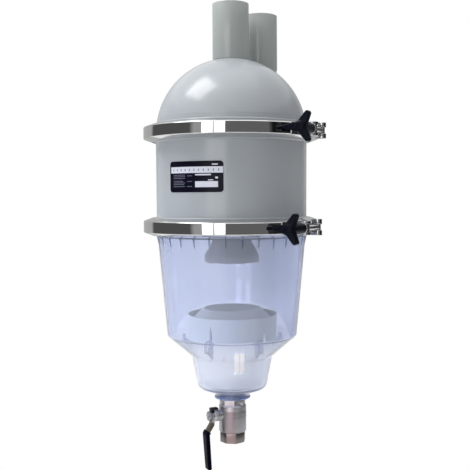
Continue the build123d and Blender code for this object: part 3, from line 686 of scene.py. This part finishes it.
# Clear bowl: one turned wall, with low gussets under its flange and slotted lugs on its shoulder
bowl = {
    "outline": [
        # radius and height, then the size of the corner's rounding, down the outside and back up the inside
        (0.1415, -0.3664, 0.0004), (0.1415, -0.3750, 0.0006), (0.1265, -0.38046, 0.0008),
        (0.1243, -0.38181, 0), (0.1216, -0.38346, 0), (0.12105, -0.3892, 0), (0.12057, -0.3942, 0),
        (0.12012, -0.3990, 0), (0.1135, -0.4684, 0),
        (0.1062, -0.5450, 0.00241), (0.0656, -0.5800, 0.00175), (0.0560, -0.6310, 0.00499),
        (0.0175, -0.6460, 0.0003), (0.0175, -0.6470, 0.0002),
        (0.0295, -0.6470, 0.0006), (0.0295, -0.6496, 0.0006),
        (0.0164, -0.6496, 0.0002), (0.0164, -0.6630, 0), (0.0110, -0.6630, 0.0002),
        (0.0110, -0.6420, 0.00212), (0.0520, -0.6274, 0.00285), (0.0620, -0.5764, 0.00323),
        (0.1022, -0.54334, 0.00167), (0.1104, -0.4549, 0), (0.1186, -0.3664, 0.0004),
        (0.1265, -0.3664, 0), (0.1265, -0.3700, 0), (0.1315, -0.3700, 0), (0.1315, -0.3664, 0),
    ],
    "steps": 360,
    # the outer face of the wall lies beyond this radius where the gussets are
    "outsideR": 0.1197,
    "gussets": 30,
    "firstGusset": 8.0,
    "gussetLine": [(-0.38181, 0.1243), (-0.38346, 0.1236), (-0.3990, 0.12012)],
    "gussetFade": 0.001,
    "neckR": 0.0180,
    "neckTop": -0.6440,
    "neckTone": 0.5,
    "lugs": 6,
    "firstLug": 33.0,
    "lugTone": 0.45,
    "lugThickness": 0.003,
    "loopR": 0.0795,
    "loopTurn": 15.0,
    # left, right, foot and top of the loop and of its slot; inner and outer radius, foot and top of the web
    "loop": (-0.0065, 0.0065, -0.5660, -0.5435),
    "loopCorner": 0.0064,
    "slot": (-0.0030, 0.0030, -0.5600, -0.5470),
    "slotCorner": 0.0029,
    "web": (0.0670, 0.0795, -0.5760, -0.5520),
    "webShare": 0.98,
    # a point of the shoulder, then its run and rise
    "slope": ((0.0795, -0.5625), (0.0402, 0.03306)),
}


def gussetRadius(z):
    line = bowl["gussetLine"]
    for (top, outer), (low, inner) in zip(line, line[1:]):
        if z >= low - 1e-5:
            return outer + (inner - outer) * (top - z) / (top - low)
    return line[-1][1]


def bowlWall():
    bm = bmesh.new()
    step = 360 / bowl["steps"]
    turnedWall(bm, [(radius, z) for radius, z, size in bowl["outline"]], bowl["firstGusset"] - step / 2,
               [size for radius, z, size in bowl["outline"]], bowl["steps"])
    rib = bm.verts.layers.float.new("rib")
    low, top = bowl["gussetLine"][-1][0], bowl["gussetLine"][0][0]
    spacing = 360 / bowl["gussets"]
    # each gusset is one column of the wall's faces, drawn outwards
    columns = []
    for face in bm.faces:
        middle = face.calc_center_median()
        bearing = bearingOf(middle) - bowl["firstGusset"]
        off = abs((bearing + spacing / 2) % spacing - spacing / 2)
        if off < step * 0.3 and low < middle.z < top and middle.xy.length > bowl["outsideR"]:
            columns.append(face)
    raised = bmesh.ops.extrude_face_region(bm, geom=columns)["geom"]
    bmesh.ops.delete(bm, geom=[face for face in columns if face.is_valid], context="FACES")
    for vert in vertsOf(raised):
        scale = gussetRadius(vert.co.z) / vert.co.xy.length
        vert.co.xy *= scale
        vert[rib] = 1.0 if vert.co.z > low + bowl["gussetFade"] else 0.0
    bmesh.ops.remove_doubles(bm, verts=bm.verts, dist=2e-6)
    for vert in bm.verts:
        if vert.co.xy.length < bowl["neckR"] and vert.co.z < bowl["neckTop"]:
            vert[rib] = bowl["neckTone"]
    piece = addPiece("bowl_wall", bm, [bowlPlastic], "separator", ["bowl"], 40)


def roundedRing(bm, box, corner, allCorners):
    # upright outline across the lug's width, its upper corners rounded, or all four
    left, right, low, high = box
    corners = ((left, low), (right, low), (right, high), (left, high))
    verts = [bm.verts.new((0, across, z)) for across, z in corners]
    bm.faces.new(verts)
    bmesh.ops.bevel(bm, geom=verts if allCorners else verts[2:], offset=corner, offset_type="OFFSET",
                    segments=6, profile=0.5, affect="VERTICES", clamp_overlap=True, material=-1)


def bowlLugs():
    bm = bmesh.new()
    roundedRing(bm, bowl["loop"], bowl["loopCorner"], False)
    roundedRing(bm, bowl["slot"], bowl["slotCorner"], True)
    bmesh.ops.delete(bm, geom=bm.faces[:], context="FACES_ONLY")
    bmesh.ops.triangle_fill(bm, use_beauty=True, use_dissolve=False, edges=bm.edges[:])
    thick = bmesh.ops.extrude_face_region(bm, geom=bm.faces[:])["geom"]
    bmesh.ops.translate(bm, vec=(bowl["lugThickness"], 0, 0), verts=vertsOf(thick))
    bmesh.ops.translate(bm, vec=(-bowl["lugThickness"] / 2, 0, 0), verts=bm.verts)
    turn = Matrix.Rotation(math.radians(bowl["loopTurn"]), 3, "Z")
    bmesh.ops.rotate(bm, cent=(0, 0, 0), matrix=turn, verts=bm.verts)
    bmesh.ops.translate(bm, vec=(bowl["loopR"], 0, 0), verts=bm.verts)
    inner, outer, low, high = bowl["web"]
    place = Matrix.Translation(((inner + outer) / 2, 0, (low + high) / 2))
    size = Matrix.Diagonal((outer - inner, bowl["lugThickness"] * bowl["webShare"], high - low, 1))
    bmesh.ops.create_cube(bm, size=1, matrix=place @ size)
    # the foot of each lug follows the shoulder
    (radius, z), (run, fall) = bowl["slope"]
    bmesh.ops.bisect_plane(bm, geom=bm.verts[:] + bm.edges[:] + bm.faces[:], dist=1e-6,
                           plane_co=(radius, 0, z), plane_no=(fall, 0, -run), clear_outer=True)
    bmesh.ops.holes_fill(bm, edges=[edge for edge in bm.edges if edge.is_boundary], sides=0)
    single = bm.verts[:] + bm.edges[:] + bm.faces[:]
    for number in range(bowl["lugs"]):
        copy = bmesh.ops.duplicate(bm, geom=single)["geom"]
        turn = Matrix.Rotation(math.radians(bowl["firstLug"] - 90 + number * 360 / bowl["lugs"]), 3, "Z")
        bmesh.ops.rotate(bm, cent=(0, 0, 0), matrix=turn, verts=vertsOf(copy))
    bmesh.ops.delete(bm, geom=vertsOf(single), context="VERTS")
    rib = bm.verts.layers.float.new("rib")
    for vert in bm.verts:
        vert[rib] = bowl["lugTone"]
    piece = addPiece("bowl_lugs", bm, [bowlPlastic], "separator")


bowlWall()
bowlLugs()
print("bowl made")


# Two fine turned rings beside the stem on the valve's waist
valveRings = {
    "radius": 0.0222,
    "rise": 0.0006,
    "height": 0.0010,
    "rounds": [0, 0.0002, 0.0002, 0],
    "steps": 96,
    "places": (-0.6742, -0.6798),
}


def turnedRings():
    bm = bmesh.new()
    radius, half = valveRings["radius"], valveRings["height"] / 2
    outer = radius + valveRings["rise"]
    for z in valveRings["places"]:
        ring = [(radius, z - half), (outer, z - half), (outer, z + half), (radius, z + half)]
        fresh = bmesh.new()
        turnedWall(fresh, ring, 0, valveRings["rounds"], valveRings["steps"])
        mesh = bpy.data.meshes.new("ring")
        fresh.to_mesh(mesh)
        fresh.free()
        bm.from_mesh(mesh)
        bpy.data.meshes.remove(mesh)
    piece = addPiece("valve_rings", bm, [platedBrass], "separator")


turnedRings()
print("valve rings made")


# Machined and moulded pieces of the frame, with their edges broken
edgeBreaks = {
    # width, then segments
    "outlet_pipe": (0.0007, 2),
    "inlet_pipe": (0.0007, 2),
    "valve_body": (0.0007, 2),
    "valve_end": (0.0007, 2),
    "packing_nut": (0.0006, 2),
    "lever_nut": (0.0009, 3),
    "lever_arm": (0.0004, 2),
    "collector_cup": (0.0005, 2),
    "collector_cone": (0.0005, 2),
    "vortex_cone": (0.0005, 2),
}
for side in ("upper", "lower"):
    edgeBreaks[side + "_knob"] = (0.0011, 3)
    edgeBreaks[side + "_t_loop"] = (0.0005, 2)
    edgeBreaks[side + "_trunnion_loop"] = (0.0005, 2)
    edgeBreaks[side + "_trunnion"] = (0.0004, 2)
    edgeBreaks[side + "_t_bolt"] = (0.0004, 2)
    edgeBreaks[side + "_washer"] = (0.0003, 2)
merge = 2e-6
flatAngle = 0.8
edgeAngle = 30
# painted shade: how far a face that gets the darker material leans inwards, or how level it lies and below which
# height
insideShade = {"inwards": 0.15, "level": 0.8, "below": -0.518}

bodyOf = {node: body for body, members in frame["record"]["behaviour"]["bodies"].items() for node in members}


def liesInShade(face):
    middle = face.calc_center_median()
    face.normal_update()
    inwards = face.normal.xy.dot(middle.xy) < -insideShade["inwards"] * middle.xy.length
    return inwards or (face.normal.z > insideShade["level"] and middle.z < insideShade["below"])


def dressed(name, width, segments):
    bm = bmesh.new()
    bm.from_mesh(nodes[name].data)
    bmesh.ops.remove_doubles(bm, verts=bm.verts, dist=merge)
    bmesh.ops.dissolve_limit(bm, angle_limit=math.radians(flatAngle), verts=bm.verts, edges=bm.edges)
    sharp = math.radians(edgeAngle)
    edges = [edge for edge in bm.edges if len(edge.link_faces) == 2 and edge.calc_face_angle(0) > sharp]
    bmesh.ops.bevel(bm, geom=edges, offset=width, offset_type="OFFSET", segments=segments, profile=0.5,
                    affect="EDGES", clamp_overlap=True, material=-1)
    bmesh.ops.dissolve_degenerate(bm, dist=merge, edges=bm.edges)
    materials = [finishes[name]]
    if name.startswith("collector"):
        # painted shade: a darker material on the inside faces and the trough's floor, where they lie in shade
        materials.append(collectorShade)
        for face in bm.faces:
            if liesInShade(face):
                face.material_index = 1
    piece = addPiece(name + "_dressed", bm, materials, bodyOf[name], [name], 34)


for name, (width, segments) in edgeBreaks.items():
    dressed(name, width, segments)
print("edges broken")


# Generic print on the label: a stripe, blank fields and short bars
labelPrint = {
    "radius": 0.1247,
    "taper": 0.0009 / 0.1197,
    "top": -0.2306,
    "lift": 0.00006,
    "white": [
        # bearings from, to, then heights from, to
        (-48.3, -5.4, -0.2724, -0.2820),
        (-26.1, -9.1, -0.2947, -0.3037),
        (-26.1, -14.1, -0.2836, -0.2858),
        (-13.4, -9.1, -0.2682, -0.2700),
        (-11.0, -9.1, -0.2879, -0.2908),
        (-16.2, -12.6, -0.2921, -0.2935),
    ],
    "grey": [
        (-45.8, -34.5, -0.2844, -0.2854),
        (-45.8, -34.5, -0.2870, -0.2880),
        (-45.8, -34.5, -0.2896, -0.2906),
        (-45.8, -36.3, -0.2938, -0.2948),
        (-45.8, -34.5, -0.2964, -0.2974),
        (-45.8, -35.4, -0.2990, -0.3000),
        (-45.8, -34.5, -0.3020, -0.3030),
        (-32.7, -28.5, -0.2857, -0.2867),
        (-32.7, -28.5, -0.2943, -0.2953),
        (-32.7, -28.5, -0.3019, -0.3029),
    ],
    "tickBearings": (-45.4, -8.6),
    "ticks": 11,
    "tickWidth": 0.7,
    "tickHeights": (-0.2757, -0.2789),
}


def printedBars(name, bars, material, lift):
    bm = bmesh.new()
    for first, last, top, bottom in bars:
        outline = []
        for z, rises in ((top, (0.0, lift)), (bottom, (lift, 0.0))):
            radius = labelPrint["radius"] - (labelPrint["top"] - z) * labelPrint["taper"]
            outline += [(radius + rise, z) for rise in rises]
        face = bm.faces.new([bm.verts.new(atBearing(radius, first, z)) for radius, z in outline])
        spun(bm, [face, *face.edges, *face.verts], math.radians(last - first), max(2, round(last - first)))
    bmesh.ops.remove_doubles(bm, verts=bm.verts, dist=1e-7)
    piece = addPiece(name, bm, [material], "separator")


tickFirst, tickLast = labelPrint["tickBearings"]
halfTick = labelPrint["tickWidth"] / 2
ticks = []
for number in range(labelPrint["ticks"]):
    middle = tickFirst + (tickLast - tickFirst) * number / (labelPrint["ticks"] - 1)
    ticks.append((middle - halfTick, middle + halfTick, *labelPrint["tickHeights"]))
printedBars("label_fields", labelPrint["white"], printWhite, labelPrint["lift"])
printedBars("label_rows", labelPrint["grey"], printGrey, labelPrint["lift"])
printedBars("label_ticks", ticks, printGrey, 2 * labelPrint["lift"])
print("label printed")
